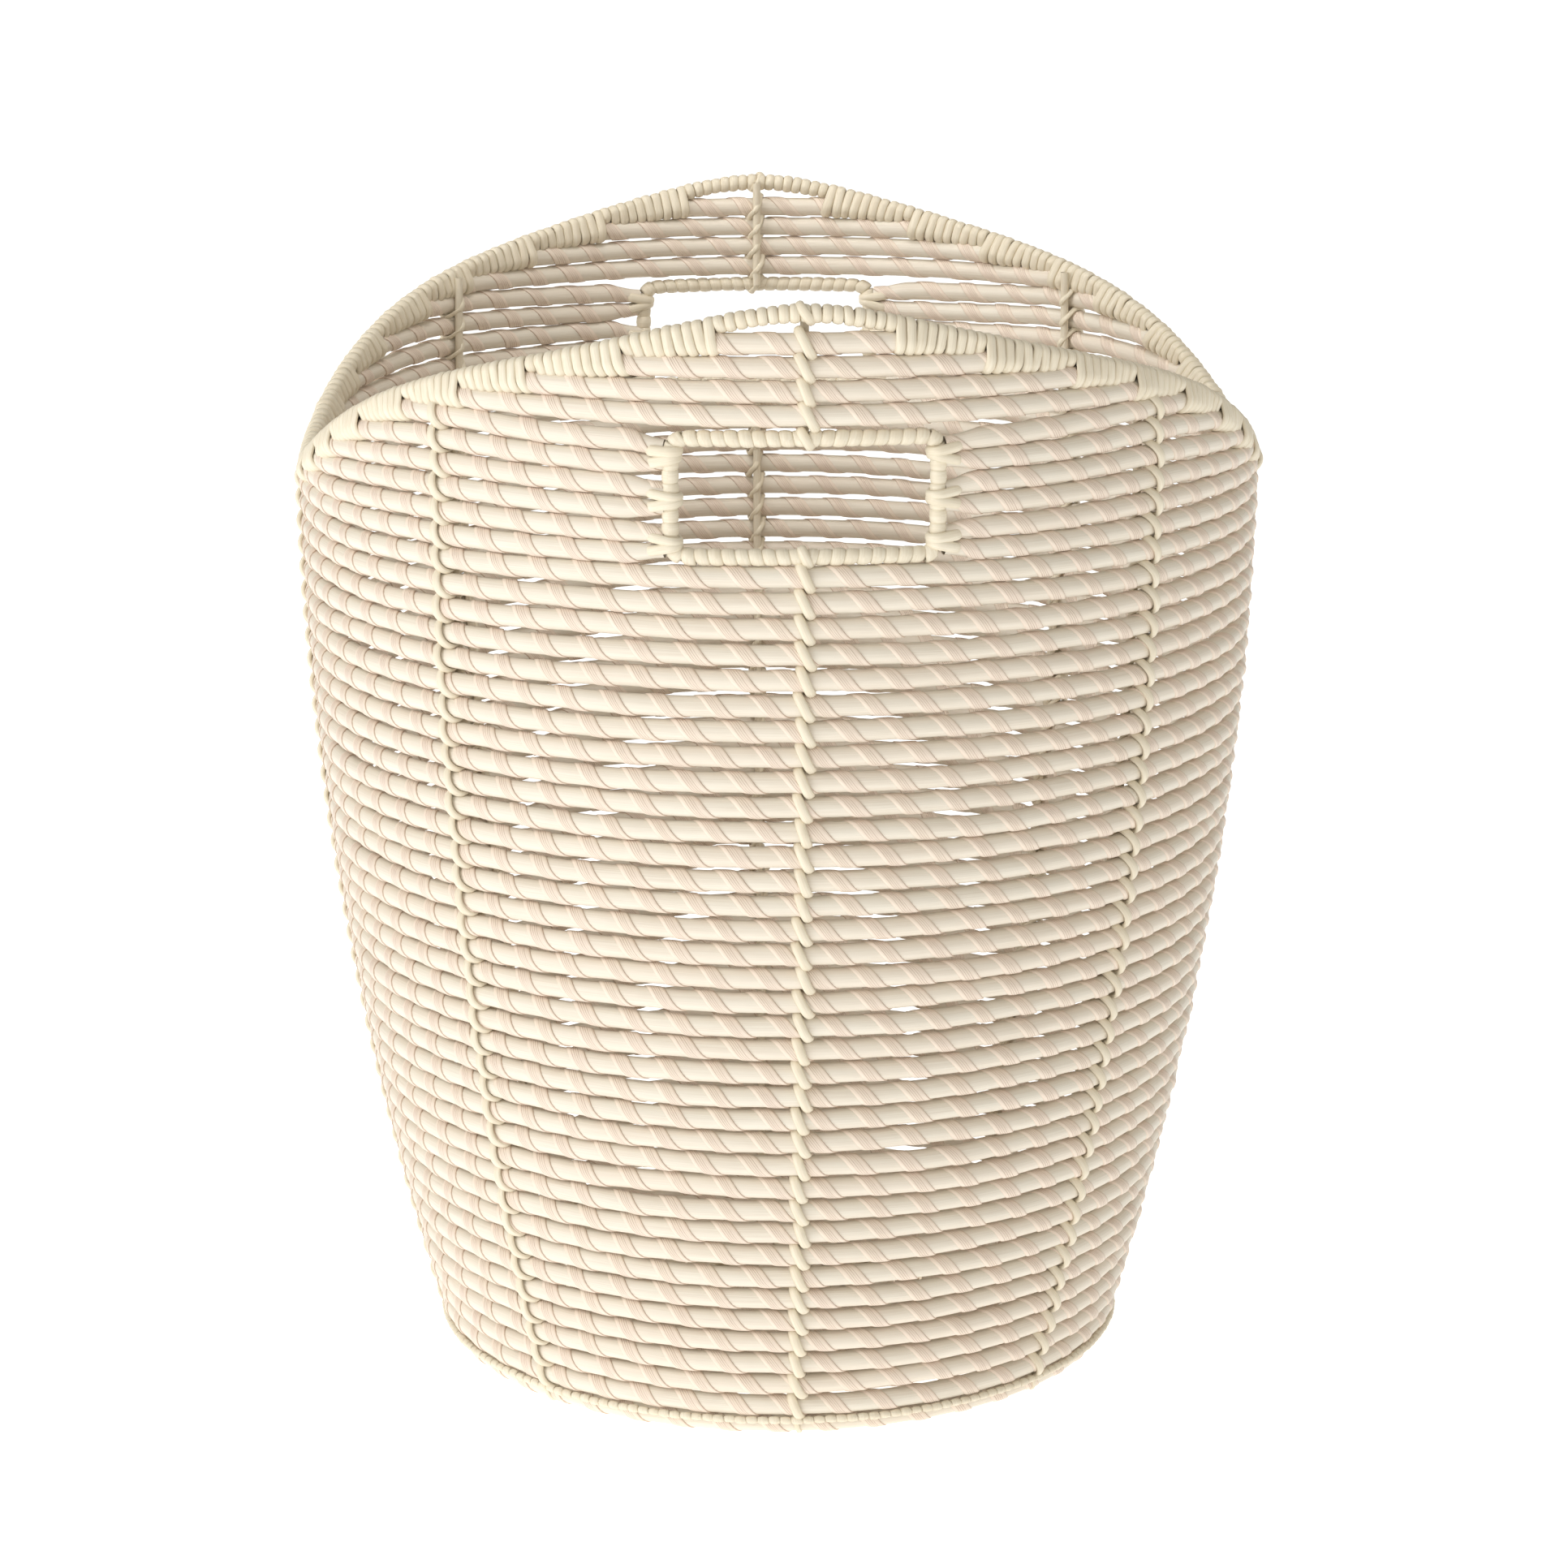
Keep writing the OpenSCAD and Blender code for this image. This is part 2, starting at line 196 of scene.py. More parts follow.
class Piece:
    """Collects grids of quads, and makes one mesh object of them."""

    def __init__(self):
        self.verts, self.quads, self.uvs, self.mats, self.tones = [], [], [], [], []
        self.count = 0

    def grid(self, points, u, v, wrap_n=False, wrap_m=False, material=0, tone=0.0, flip=False):
        """points is (batch, n, m, 3). u is (batch, n) and v is (m), each one longer where the grid
        wraps round. flip turns the faces over."""
        b, n, m, _ = points.shape
        rows = np.arange(n if wrap_n else n - 1)
        cols = np.arange(m if wrap_m else m - 1)
        i0, j0 = np.meshgrid(rows, cols, indexing="ij")
        i1, j1 = (i0 + 1) % n, (j0 + 1) % m
        corner = [(i0, j0), (i0, j1), (i1, j1), (i1, j0)]
        ext = [(i0, j0), (i0, j0 + 1), (i0 + 1, j0 + 1), (i0 + 1, j0)]
        if flip:
            corner, ext = corner[::-1], ext[::-1]
        quad = np.stack([i * m + j for i, j in corner], -1).reshape(-1, 4)
        start = self.count + np.arange(b)[:, None, None] * n * m
        self.quads.append((quad[None] + start).reshape(-1, 4))
        uu = np.stack([u[:, i] for i, _ in ext], -1)
        vv = np.broadcast_to(np.stack([v[j] for _, j in ext], -1)[None], uu.shape)
        self.uvs.append(np.stack([uu, vv], -1).reshape(-1, 2))
        self.mats.append(np.full(b * len(quad), material))
        self.tones.append(np.broadcast_to(np.reshape(tone, (-1, 1)), (b, n * m)).reshape(-1))
        self.verts.append(points.reshape(-1, 3))
        self.count += b * n * m

    def sweep(self, path, normal, thick, wide, sides, closed=False, tone=0.0):
        """Strands along path (batch, n, 3), of the first material. Their sections are ovals, whose
        radius is thick along normal and wide across it. tone also shifts the texture along them."""
        if closed:
            tangent = np.roll(path, -1, 1) - np.roll(path, 1, 1)
        else:
            tangent = np.gradient(path, axis=1)
        tangent = unit(tangent)
        normal = unit(normal - tangent * (normal * tangent).sum(-1, keepdims=True))
        side = np.cross(tangent, normal)
        t = np.arange(sides) * TURN / sides
        thick = np.broadcast_to(thick, path.shape[:2])[..., None, None]
        wide = np.broadcast_to(wide, path.shape[:2])[..., None, None]
        points = (path[:, :, None] + thick * np.cos(t)[:, None] * normal[:, :, None]
                  + wide * np.sin(t)[:, None] * side[:, :, None])
        ring = np.concatenate([path, path[:, :1]], 1) if closed else path
        step = np.linalg.norm(np.diff(ring, axis=1), axis=-1)
        u = np.concatenate([np.zeros((len(path), 1)), np.cumsum(step, 1)], 1)
        u = u + np.reshape(tone, (-1, 1)) * TONE_SHIFT
        v = np.arange(sides + 1) / sides
        self.grid(points, u, v, closed, True, 0, tone)

    def finish(self, name, nodes, materials):
        """Makes the mesh object, which stands for the CAD nodes."""
        verts = settle(np.concatenate(self.verts))
        quads = np.concatenate(self.quads)
        mesh = bpy.data.meshes.new(name)
        mesh.vertices.add(len(verts))
        mesh.vertices.foreach_set("co", verts.astype(np.float32).ravel())
        mesh.loops.add(quads.size)
        mesh.loops.foreach_set("vertex_index", quads.astype(np.int32).ravel())
        mesh.polygons.add(len(quads))
        mesh.polygons.foreach_set("loop_start", np.arange(0, quads.size, 4, dtype=np.int32))
        mesh.polygons.foreach_set("material_index",
                                  np.concatenate(self.mats).astype(np.int32))
        mesh.polygons.foreach_set("use_smooth", np.ones(len(quads), bool))
        mesh.update(calc_edges=True)
        uv = mesh.uv_layers.new(name="strand")
        uv.data.foreach_set("uv", np.concatenate(self.uvs).astype(np.float32).ravel())
        tone = mesh.attributes.new("tone", "FLOAT", "POINT")
        tone.data.foreach_set("value", np.concatenate(self.tones).astype(np.float32))
        for material in materials:
            mesh.materials.append(material)
        obj = bpy.data.objects.new(name, mesh)
        bpy.context.scene.collection.objects.link(obj)
        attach(obj, "root")
        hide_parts(*nodes)


# ---- materials -------------------------------------------------------------------------------


def srgb(r, g, b):
    """A linear colour from its usual 0 to 255 values."""
    return tuple(((c / 255 + 0.055) / 1.055) ** 2.4 for c in (r, g, b)) + (1.0,)


class Nodes:
    """A small helper to wire shader nodes."""

    def __init__(self, name):
        self.material = bpy.data.materials.new(name)
        self.material.use_nodes = True
        self.tree = self.material.node_tree
        self.shader = self.tree.nodes["Principled BSDF"]

    def put(self, kind, inputs=None, **props):
        node = self.tree.nodes.new(kind)
        for key, value in props.items():
            setattr(node, key, value)
        for key, value in (inputs or {}).items():
            self.set(node.inputs[key], value)
        return node

    def set(self, socket, value):
        if isinstance(value, bpy.types.NodeSocket):
            self.tree.links.new(value, socket)
        else:
            socket.default_value = value

    def math(self, operation, a, b=0.0, c=0.0):
        node = self.put("ShaderNodeMath", operation=operation)
        for socket, value in zip(node.inputs, (a, b, c)):
            self.set(socket, value)
        return node.outputs[0]

    def remap(self, value, low, high, to_low=0.0, to_high=1.0):
        node = self.put("ShaderNodeMapRange", interpolation_type="SMOOTHSTEP")
        for key, v in zip(("Value", "From Min", "From Max", "To Min", "To Max"),
                          (value, low, high, to_low, to_high)):
            self.set(node.inputs[key], v)
        return node.outputs["Result"]

    def mix(self, factor, a, b):
        node = self.put("ShaderNodeMix", data_type="RGBA")
        for socket, value in zip((node.inputs[0], node.inputs[6], node.inputs[7]),
                                 (factor, a, b)):
            self.set(socket, value)
        return node.outputs[2]

    def noise(self, vector, scale=1.0, detail=3.0, rough=0.55):
        node = self.put("ShaderNodeTexNoise", {"Vector": vector, "Scale": scale,
                                               "Detail": detail, "Roughness": rough})
        return node.outputs[0]

    def strand(self):
        """(length along in metres, share of the way round or across, tone of the strand)."""
        uv = self.put("ShaderNodeUVMap", uv_map="strand")
        parts = self.put("ShaderNodeSeparateXYZ", {0: uv.outputs[0]})
        tone = self.put("ShaderNodeAttribute", attribute_name="tone")
        return parts.outputs[0], parts.outputs[1], tone.outputs["Fac"]

    def vector(self, x, y, z):
        return self.put("ShaderNodeCombineXYZ", {0: x, 1: y, 2: z}).outputs[0]

    def bump(self, height, strength, distance):
        node = self.put("ShaderNodeBump", {"Height": height, "Strength": strength,
                                           "Distance": distance})
        self.set(self.shader.inputs["Normal"], node.outputs[0])


CORE_DARK, CORE_LIGHT = srgb(224, 214, 198), srgb(236, 229, 215)
CORE_YELLOW, CORE_PINK = srgb(235, 230, 217), srgb(236, 223, 207)
RIBBON_DARK, RIBBON_LIGHT = srgb(235, 220, 204), srgb(242, 229, 213)
# The groove colour is painted shade in the ribbon's grooves.
RIBBON_PINK, RIBBON_GROOVE_SHADE = srgb(238, 222, 208), srgb(202, 172, 152)
# Painted shade lines along the ribbon's two edges, where they meet the core; darker at the lapped
# edge.
LAPPED_EDGE_SHADE, OTHER_EDGE_SHADE = srgb(180, 150, 126), srgb(205, 180, 158)
CORD_DARK, CORD_LIGHT = srgb(227, 217, 195), srgb(237, 229, 210)
COATED_DARK, COATED_LIGHT = srgb(219, 209, 189), srgb(229, 221, 202)
CORD_STAIN = srgb(228, 215, 190)

# Lines across a ribbon, and how far apart in the noise two strands of unlike tone lie.
RIBBON_LINES = 8.0
TONE_SPREAD = 40.0


def round_vector(n, u, v, tone, along, rounds):
    """A noise vector that runs seamlessly round a strand: lines along it, varied by tone."""
    angle = n.math("MULTIPLY", v, TURN)
    x = n.math("MULTIPLY", n.math("COSINE", angle), rounds)
    y = n.math("MULTIPLY", n.math("SINE", angle), rounds)
    z = n.math("MULTIPLY_ADD", u, along, n.math("MULTIPLY", tone, TONE_SPREAD))
    return n.vector(x, y, z)


def core_material():
    """The plastic core of a rod: cream, with fine lines along it."""
    n = Nodes("rod_core")
    u, v, tone = n.strand()
    lines = n.noise(round_vector(n, u, v, tone, 14.0, 7.0), 1.6, 4.0, 0.65)
    broad = n.noise(round_vector(n, u, v, tone, 22.0, 0.7), 1.0, 2.0)
    color = n.mix(n.remap(lines, 0.35, 0.68), CORE_DARK, CORE_LIGHT)
    color = n.mix(n.remap(broad, 0.3, 0.7, 0.0, 0.55), color, CORE_YELLOW)
    color = n.mix(n.remap(tone, 0.0, 1.0, 0.0, 0.35), color, CORE_PINK)
    n.set(n.shader.inputs["Base Color"], color)
    n.set(n.shader.inputs["Roughness"], n.remap(lines, 0.3, 0.7, 0.5, 0.36))
    n.shader.inputs["Specular IOR Level"].default_value = 0.42
    n.bump(lines, 0.35, 0.00035)
    return n.material


def ribbon_material():
    """The ribbon: pinkish, with grooves along it that hold painted shade, and painted shade lines at
    its edges, darkest at its lapped edge.
    """
    n = Nodes("rod_ribbon")
    u, v, tone = n.strand()
    wander = n.noise(n.vector(n.math("MULTIPLY", u, 30.0), n.math("MULTIPLY", tone, 50.0), 0.0),
                     1.0, 2.0)
    across = n.math("ADD", v, n.math("MULTIPLY", n.math("SUBTRACT", wander, 0.5), 0.12))
    waves = n.math("SINE", n.math("MULTIPLY", across, TURN * RIBBON_LINES))
    inner = n.math("MULTIPLY", n.remap(v, 0.16, 0.26), n.remap(v, 0.84, 0.66))
    fine = n.noise(n.vector(n.math("MULTIPLY", u, 60.0), n.math("MULTIPLY", v, 26.0),
                            n.math("MULTIPLY", tone, TONE_SPREAD)), 1.0, 3.0)
    grooves = n.math("MULTIPLY", n.remap(waves, 0.3, 0.95), inner)
    grooves = n.math("MULTIPLY", grooves, n.remap(fine, 0.3, 0.6, 0.25, 1.0))
    base = n.mix(n.remap(fine, 0.3, 0.7), RIBBON_DARK, RIBBON_LIGHT)
    base = n.mix(n.remap(wander, 0.35, 0.7, 0.0, 0.5), base, RIBBON_PINK)
    # Painted shade darkens the grooves.
    color = n.mix(n.math("MULTIPLY", grooves, 0.6), base, RIBBON_GROOVE_SHADE)
    # Painted shade lines along both edges of the ribbon, darker at its lapped edge.
    edge = n.remap(v, 0.93, 0.975)
    color = n.mix(n.math("MULTIPLY", edge, 0.65), color, LAPPED_EDGE_SHADE)
    color = n.mix(n.remap(v, 0.06, 0.02, 0.0, 0.3), color, OTHER_EDGE_SHADE)
    n.set(n.shader.inputs["Base Color"], color)
    n.shader.inputs["Roughness"].default_value = 0.46
    n.shader.inputs["Specular IOR Level"].default_value = 0.38
    n.bump(n.math("SUBTRACT", n.math("MULTIPLY", fine, 0.4), grooves), 0.7, 0.0004)
    return n.material


def cord_material(name, dark, light, rough):
    """Smooth plastic cord, or the coat of a wire."""
    n = Nodes(name)
    u, v, tone = n.strand()
    lines = n.noise(round_vector(n, u, v, tone, 60.0, 2.2), 1.4, 3.0)
    broad = n.noise(round_vector(n, u, v, tone, 25.0, 0.5), 1.0, 2.0)
    color = n.mix(n.remap(lines, 0.3, 0.7), dark, light)
    color = n.mix(n.remap(broad, 0.35, 0.7, 0.0, 0.35), color, CORD_STAIN)
    n.set(n.shader.inputs["Base Color"], color)
    n.set(n.shader.inputs["Roughness"], n.remap(lines, 0.3, 0.7, rough + 0.07, rough - 0.05))
    n.shader.inputs["Specular IOR Level"].default_value = 0.42
    n.bump(lines, 0.2, 0.0003)
    return n.material


CORE = core_material()
RIBBON = ribbon_material()
CORD = cord_material("lashing_cord", CORD_DARK, CORD_LIGHT, 0.44)
COATED = cord_material("coated_wire", COATED_DARK, COATED_LIGHT, 0.36)
# For each slot, how the names of its pieces end, and its materials.
SLOTS = {"rod": ("woven", [CORE, RIBBON]), "wire": ("wire", [COATED]), "cord": ("cord", [CORD])}

# ---- rods ------------------------------------------------------------------------------------

CORE_R = ROD_R - 0.18 * MM
FOOT_CORE_R = CORE_R - 0.25 * MM
RING_STEPS = 208
# How far a rod wanders off its course.
WANDER = 0.6 * MM
BASE_WANDER = 0.2 * MM
WOBBLE_WAVES = range(3, 10)

RIBBON_HALF = 4.6 * MM
RIBBON_PITCH = 22.6 * MM
RIBBON_DRIFT = 1.6 * MM
RIBBON_VARIES = 0.07
RIBBON_TONE_SHIFT = 5
TURN_STEPS = 16
# Section of the ribbon: share of half its width, and height over the core in millimetres.
RIBBON_SECTION = np.array([(-1, -0.25), (-0.93, 0.32), (-0.55, 0.52), (0, 0.6), (0.55, 0.58),
                           (0.93, 0.46), (1, -0.25)])


def make_piece(node, slot, build, ending=None):
    """The piece that stands for a CAD node. build adds the strands to it."""
    piece = Piece()
    build(piece)
    usual, materials = SLOTS[slot]
    piece.finish(f"{node}_{ending or usual}", [node], materials)


def add_rod(piece, path, out, radius, closed, tone, sides=14):
    """A round core along path (n, 3) with a flat ribbon wound round it as a helix."""
    radius = np.broadcast_to(radius, len(path))
    piece.sweep(path[None], out[None], radius[None], radius[None], sides, closed, tone)
    ext = np.concatenate([path, path[:1]]) if closed else path
    ext_out = np.concatenate([out, out[:1]]) if closed else out
    ext_radius = np.append(radius, radius[0]) if closed else radius
    length = np.concatenate([[0], np.cumsum(np.linalg.norm(np.diff(ext, axis=0), axis=1))])
    total = length[-1]

    # Where the ribbon's section stands along the rod, at each step of its winding.
    turns = max(1, round(total / RIBBON_PITCH))
    phase = rng.uniform(0, TURN)
    t = np.arange(turns * TURN_STEPS + (0 if closed else 1)) * TURN / TURN_STEPS
    drift = RIBBON_DRIFT * np.sin(t / turns * rng.integers(2, 5) + rng.uniform(0, TURN))
    width = RIBBON_HALF * (1 + RIBBON_VARIES * np.sin(t / turns * rng.integers(3, 7) + phase))
    centre = total * t / (turns * TURN) + drift
    at = centre[:, None] + width[:, None] * RIBBON_SECTION[None, :, 0]
    at = at % total if closed else np.clip(at, 0, total)

    # The rod's centre, outward direction and upward direction there.
    c = np.stack([np.interp(at, length, ext[:, i]) for i in range(3)], -1)
    o = unit(np.stack([np.interp(at, length, ext_out[:, i]) for i in range(3)], -1))
    along = np.gradient(ext, axis=0)
    if closed:
        along[0] = along[-1] = ext[1] - ext[-2]
    tan = unit(np.stack([np.interp(at, length, along[:, i]) for i in range(3)], -1))
    o = unit(o - tan * (o * tan).sum(-1, keepdims=True))
    up = np.cross(o, tan)

    angle = (t + phase)[:, None, None]
    rad = np.interp(at, length, ext_radius) + RIBBON_SECTION[None, :, 1] * MM
    points = c + rad[..., None] * (np.cos(angle) * up + np.sin(angle) * o)
    step = math.hypot(RIBBON_PITCH, TURN * ROD_R) / TURN_STEPS
    u = (np.arange(len(t) + 1) * step + tone * RIBBON_TONE_SHIFT)[None]
    v = (RIBBON_SECTION[:, 0] + 1) / 2
    piece.grid(points[None], u, v, closed, False, 1, tone, flip=True)


def wobble(a, size):
    """A smooth seeded wander along a rod that is held still at the eight uprights."""
    total = np.zeros_like(a)
    for k in WOBBLE_WAVES:
        total += rng.normal() * np.sin(k * a + rng.uniform(0, TURN)) / math.sqrt(len(WOBBLE_WAVES))
    return size * total * np.sin(4 * a) ** 2


def ring_path(r, z, n=RING_STEPS, wander=WANDER):
    """Points and outward directions round a ring."""
    a = np.arange(n) * TURN / n
    path = around(a, r + wobble(a, wander), z + wobble(a, wander))
    return path, around(a, 1.0, 0.0)


def wall_ring(piece, r, z):
    """A complete rod of the wall."""
    path, out = ring_path(r, z)
    add_rod(piece, path, out, CORE_R * rng.uniform(0.98, 1.02), True, rng.uniform())


def foot_ring(piece):
    path, out = ring_path(FOOT_R, FOOT_Z, wander=0)
    add_rod(piece, path, out, FOOT_CORE_R, True, 0.4)


def base_rings(piece):
    """The base's rods, ring inside ring."""
    r = BASE_FIRST_R
    while r > ROD_R:
        path, out = ring_path(r, BASE_Z, max(24, int(RING_STEPS * r / BELLY_R)), BASE_WANDER)
        add_rod(piece, path, out, CORE_R, True, rng.uniform(), sides=12)
        r -= BASE_GAP


for node, (r, z, _) in zip(RING_NODES, RINGS):
    make_piece(node, "rod", lambda p: wall_ring(p, r, z))
make_piece("foot_rod", "rod", foot_ring)
make_piece("base_rods", "rod", base_rings)

# ---- short rods, which end in the rim's binding ----------------------------------------------

# A fold is the angle from the nearest hand hole, in radians.
SIDE_START = math.asin(HOLE_HALF / BELLY_R) + 2.6 * MM / BELLY_R
UNDER_RIM = WIRE_R + ROD_R + 1.2 * MM
RIM_CLEARANCE = 0.3 * MM
FOLDS = np.radians(np.arange(2, 90.01, 0.1))
LONGEST_TAPER = 42 * MM
# Shares of its taper's length that a rod's end runs on, and of the way to the next rod's end.
TAPER_SHOWN = 0.85
TAPER_FILLS = 0.95

# The ends beside a hand hole are squeezed to this share of their radius over this length, and
# gather in pairs by this much, where knots tie them to the side bar.
SQUEEZED = 0.66
SQUEEZE_LENGTH = 20 * MM
PAIRING = 1.3 * MM
SIDE_WANDER = 0.5 * MM
ARCH_WANDER = 0.4 * MM


def end_of(height):
    """First fold at which a rod meets the rim."""
    met = height(FOLDS) > rim_z(FOLDS) - UNDER_RIM
    return FOLDS[np.argmax(met)]


ARCH_ENDS = {j: end_of(lambda f: arch_z(j, f)) for j in range(1, ARCH_COUNT + 1)}
SIDE_ENDS = {j: end_of(lambda f: np.where(f > SIDE_START, side_z(j, f), 0))
             for j in range(2, SIDE_LEVELS + 1)}
RIM_ENDS = np.array(sorted([*ARCH_ENDS.values(), *SIDE_ENDS.values()]))
NEXT_ENDS = np.append(RIM_ENDS[1:], math.pi / 2 + 0.02)
TAPER_LENGTHS = np.minimum((NEXT_ENDS - RIM_ENDS) * BELLY_R * TAPER_FILLS, LONGEST_TAPER)
# The share of its radius that each rod loses on the way. The rods bound in last, at the sides, are
# trimmed less and make the binding bulkier there.
TAPERS = 0.8 - 0.45 * np.clip((RIM_ENDS - 0.95) / 0.3, 0, 1)


def tip_share(fold):
    """How much of the rod's radius is left at a fold inside the rim's binding, and 0 beyond."""
    found = np.searchsorted(RIM_ENDS, fold + 1e-9) - 1
    i = np.maximum(found, 0)
    t = (fold - RIM_ENDS[i]) * BELLY_R / TAPER_LENGTHS[i]
    return np.where((found >= 0) & (t < 1), 1 - TAPERS[i] * np.clip(t, 0, 1), 0.0)


def end_index(end):
    """Which of the rods bound to the rim ends at this fold."""
    return int(np.argmin(np.abs(RIM_ENDS - end)))


def tip_of(end):
    """The fold at which a rod that meets the rim at the fold end stops under the binding."""
    return end + TAPER_SHOWN * TAPER_LENGTHS[end_index(end)] / BELLY_R


def rim_bound(height, fold, end):
    """A rod's height and radius: its own height up to its end, then along the rim, tapering."""
    i = end_index(end)
    t = np.clip((fold - end) * BELLY_R / TAPER_LENGTHS[i], 0, 1)
    radius = CORE_R * (1 - TAPERS[i] * t)
    return np.minimum(height, rim_z(fold) - WIRE_R - radius - RIM_CLEARANCE), radius


def side_rod(piece, j, quarter, back):
    """Short rod j in one quarter: quarter is -1 for the left and 1 for the right. The lowest, j = 1,
    runs on to the other hand hole."""
    if j == 1:
        fold = np.linspace(SIDE_START, math.pi - SIDE_START, 150)
        from_hole = np.minimum(fold, math.pi - fold)
        height = side_z(1, from_hole)
        radius = np.full(len(fold), CORE_R)
    else:
        fold = np.linspace(SIDE_START, tip_of(SIDE_ENDS[j]), 90)
        from_hole = fold
        height, radius = rim_bound(side_z(j, fold), fold, SIDE_ENDS[j])
    near = np.clip((from_hole - SIDE_START) * BELLY_R / SQUEEZE_LENGTH, 0, 1)
    near = near * near * (3 - 2 * near)
    radius = radius * (SQUEEZED + (1 - SQUEEZED) * near)
    height = height + (1 - near) * (PAIRING if j % 2 else -PAIRING)
    lift = wobble(fold, SIDE_WANDER) * near
    a = quarter * fold
    if back:
        a = math.pi - a
    if a[-1] < a[0]:
        a, height, radius, lift = a[::-1], height[::-1], radius[::-1], lift[::-1]
    path = around(a, wall_r(height), height + lift)
    add_rod(piece, path, around(a, 1.0, 0.0), radius, False, rng.uniform())


def arch_rod(piece, j, back):
    """Arch rod j over a hand hole, with both its ends in the rim's binding."""
    reach = tip_of(ARCH_ENDS[j])
    a = np.linspace(-reach, reach, 60 + 20 * (ARCH_COUNT - j))
    height, radius = rim_bound(arch_z(j, a), np.abs(a), ARCH_ENDS[j])
    path = around(a, wall_r(height), height + wobble(a, ARCH_WANDER))
    out = around(a, 1.0, 0.0)
    if back:
        path, out = path * HALF_TURN, out * HALF_TURN
    add_rod(piece, path, out, radius, False, rng.uniform())


def lowest_side_rods(piece):
    for quarter in (-1, 1):
        side_rod(piece, 1, quarter, False)


def quarter_rods(piece, back):
    for j in SIDE_ENDS:
        for quarter in (-1, 1):
            side_rod(piece, j, quarter, back)


def arch_rods(piece, back):
    for j in ARCH_ENDS:
        arch_rod(piece, j, back)


make_piece("side_rods", "rod", lowest_side_rods)
for place, back in (("front", False), ("back", True)):
    make_piece(f"quarter_rods_{place}", "rod", lambda p: quarter_rods(p, back))
    make_piece(f"arch_rods_{place}", "rod", lambda p: arch_rods(p, back))

# ---- wires -----------------------------------------------------------------------------------

HOLE_CORNER = 6.5 * MM
CORNER_STEPS = 12
HUB_HALF = WIRE_R * 1.1
# The hub's disc is closed by a pin hole in place of a point.
HUB_PIN_R = 0.2 * MM


def upright(piece, index):
    """The wire at index eighths of the way round. A hand hole breaks the front and back ones."""
    a = index * math.pi / 4
    breaks = [HOLE_LOW, HOLE_HIGH] if index % 4 == 0 else []
    ends = [SPOKE_Z - WIRE_R, *breaks, float(rim_z(a))]
    for z0, z1 in zip(ends[::2], ends[1::2]):
        z = np.linspace(z0, z1, 60)
        path = around(a, wall_r(z) - UPRIGHT_IN, z)
        normal = around(np.full(len(z), a), 1.0, 0.0)
        piece.sweep(path[None], normal[None], WIRE_R, WIRE_R, 14, tone=rng.uniform())


def rim_points(a):
    return around(a, wall_r(rim_z(a)), rim_z(a))


def rim_path(n):
    """Angles, points, outward directions and tangents spaced evenly along the rim, and its length."""
    a = np.linspace(0, TURN, 2001)
    s = np.concatenate([[0], np.cumsum(np.linalg.norm(np.diff(rim_points(a), axis=0), axis=1))])
    a = np.interp(np.arange(n) * s[-1] / n, s, a)
    d = 1e-3
    t = unit(rim_points(a + d) - rim_points(a - d))
    return a, rim_points(a), around(a, 1.0, 0.0), t, s[-1]


def rim_wire(piece):
    """The closed wire inside the rim's binding."""
    _, p, out, _, _ = rim_path(400)
    piece.sweep(p[None], out[None], WIRE_R, WIRE_R, 12, closed=True)


def hole_path(n):
    """Sideways places, points, outward directions and tangents spaced evenly along the wire loop of
    the front hand hole, and its length."""
    side, low, high = HOLE_HALF - HOLE_CORNER, HOLE_LOW + HOLE_CORNER, HOLE_HIGH - HOLE_CORNER
    corners = ((side, low, -90), (side, high, 0), (-side, high, 90), (-side, low, 180))
    pts = []
    for cx, cz, start in corners:
        for k in range(CORNER_STEPS + 1):
            t = math.radians(start + 90 * k / CORNER_STEPS)
            pts.append((cx + HOLE_CORNER * math.cos(t), cz + HOLE_CORNER * math.sin(t)))
    pts.append(pts[0])
    pts = np.array(pts)
    s = np.concatenate([[0], np.cumsum(np.linalg.norm(np.diff(pts, axis=0), axis=1))])
    at = (np.arange(n) + 0.5) * s[-1] / n
    x, z = np.interp(at, s, pts[:, 0]), np.interp(at, s, pts[:, 1])
    a = np.arcsin(x / BELLY_R)
    p = around(a, BELLY_R, z)
    t = unit(np.roll(p, -1, 0) - np.roll(p, 1, 0))
    return x, p, around(a, 1.0, 0.0), t, s[-1]


def hole_wire(piece, turn):
    _, p, out, _, _ = hole_path(160)
    piece.sweep((p * turn)[None], (out * turn)[None], WIRE_R, WIRE_R, 12, closed=True)


def hub(piece):
    """The welded hub: a disc with rounded edges, as one lathed profile."""
    t = np.linspace(0, math.pi, 9)
    edge = HUB_R - HUB_HALF + HUB_HALF * np.sin(t)
    flat = [HUB_PIN_R, HUB_R * 0.5]
    r = np.concatenate([flat, edge, flat[::-1]])
    z = SPOKE_Z + np.concatenate([[HUB_HALF] * 2, HUB_HALF * np.cos(t), [-HUB_HALF] * 2])
    a = np.arange(48) * TURN / 48
    u = np.linspace(0, TURN * HUB_R, 49)[None]
    piece.grid(around(a[:, None], r[None], z[None])[None], u, np.linspace(0, 1, len(r)), True,
               False, 0, 0.3)


def spokes(piece):
    for index in range(8):
        r = np.linspace(HUB_R * 0.5, SPOKE_REACH, 30)
        path = around(index * math.pi / 4, r, np.full(len(r), SPOKE_Z))
        normal = np.broadcast_to([0.0, 0.0, 1.0], path.shape)
        piece.sweep(path[None], normal[None], WIRE_R, WIRE_R, 12, tone=rng.uniform())
    hub(piece)


